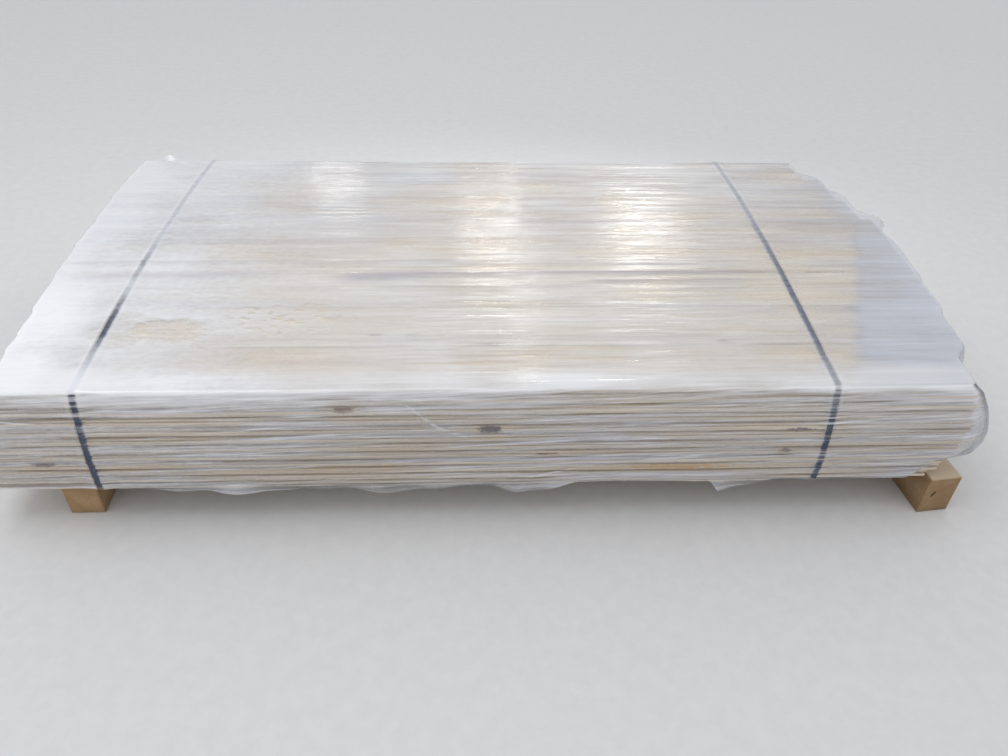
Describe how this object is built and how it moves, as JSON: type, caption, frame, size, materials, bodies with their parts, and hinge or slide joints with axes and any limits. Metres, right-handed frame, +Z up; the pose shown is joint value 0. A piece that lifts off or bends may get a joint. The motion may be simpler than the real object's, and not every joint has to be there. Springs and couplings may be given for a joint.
{
  "type": "bundle of tongue and groove boards",
  "caption": "Strapped and film-wrapped stack of planed softwood tongue and groove boards, lying flat on two timber bearers.",
  "frame": {"origin": "on the floor, under the middle of the wrapped stack", "axes": "+X along the boards, towards the end over the askew bearer; +Y from the groove side at the front to the tongue side at the back; +Z up"},
  "size_m": [2.19, 1.1321, 0.3917],
  "materials": {
    "board_wood": "planed, unfinished",
    "bearer_wood": "rough sawn",
    "strap_plastic": "embossed band",
    "clear_film": "clear stretch film"
  },
  "bodies": {
    "root": {"board_layer_01": "board_wood", "board_layer_02": "board_wood", "board_layer_03": "board_wood", "board_layer_04": "board_wood", "board_layer_05": "board_wood", "board_layer_06": "board_wood", "board_layer_07": "board_wood", "board_layer_08": "board_wood", "board_layer_09": "board_wood", "board_layer_10": "board_wood", "board_layer_11": "board_wood", "left_bearer": "bearer_wood", "right_bearer": "bearer_wood", "left_strap": "strap_plastic", "right_strap": "strap_plastic", "film_wrap": "clear_film"}
  },
  "joints": []
}
